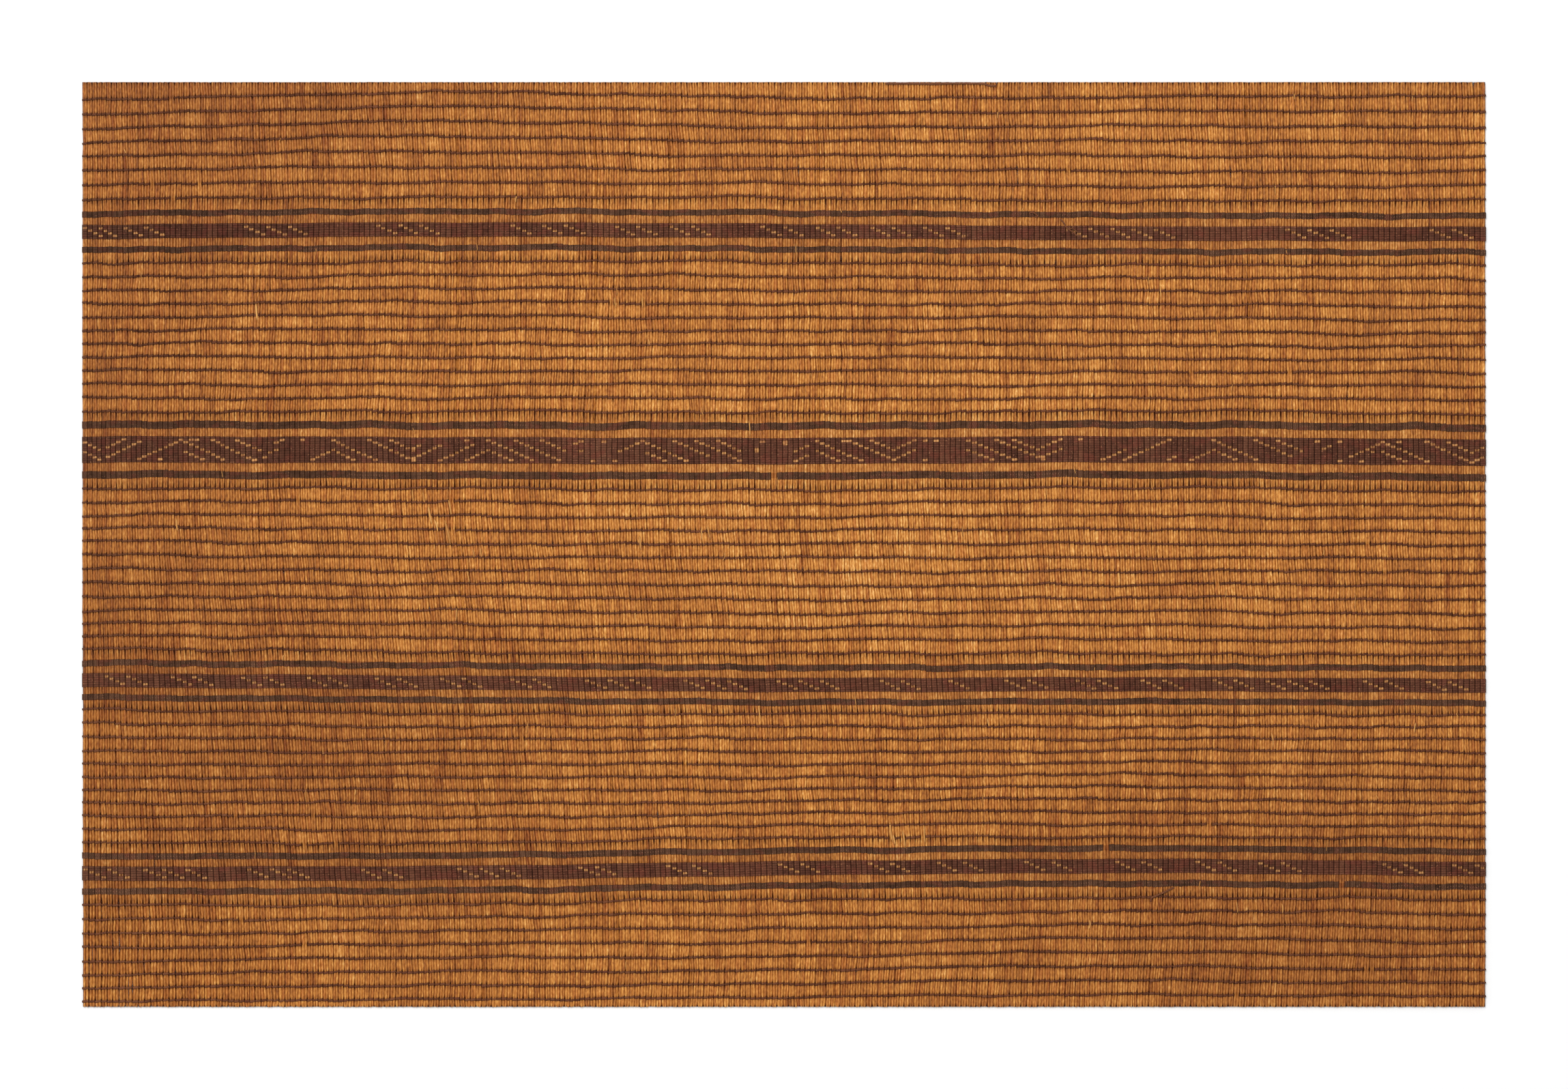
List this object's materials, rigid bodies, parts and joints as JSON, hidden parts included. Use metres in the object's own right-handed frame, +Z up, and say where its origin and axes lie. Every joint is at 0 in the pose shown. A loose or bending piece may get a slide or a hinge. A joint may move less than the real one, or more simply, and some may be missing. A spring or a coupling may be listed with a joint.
{
  "type": "tuareg mat",
  "caption": "Flat rectangular mat of grass reeds twined with leather thong, with stepped diagonal patterns in brown bands edged by black lines.",
  "frame": {"origin": "middle of the underside, on the surface that the mat lies on", "axes": "+X along the thong rows, the mat's long way, +Y along the reeds towards the picture's top edge, +Z up out of the pictured face"},
  "size_m": [1.8, 1.186, 0.0051],
  "materials": {
    "reed": "dry golden grass stalks, slightly glossy skin, browner where they are worn",
    "brown_leather": "dull reddish brown goat leather thong, worn",
    "black_leather": "dull black dyed leather thong, worn"
  },
  "bodies": {
    "root": {"reed_sheet": "reed", "brown_band_1": "brown_leather", "brown_band_2": "brown_leather", "brown_band_3": "brown_leather", "brown_band_4": "brown_leather", "black_line_1": "black_leather", "black_line_2": "black_leather", "black_line_3": "black_leather", "black_line_4": "black_leather", "black_line_5": "black_leather", "black_line_6": "black_leather", "black_line_7": "black_leather", "black_line_8": "black_leather"}
  },
  "joints": []
}
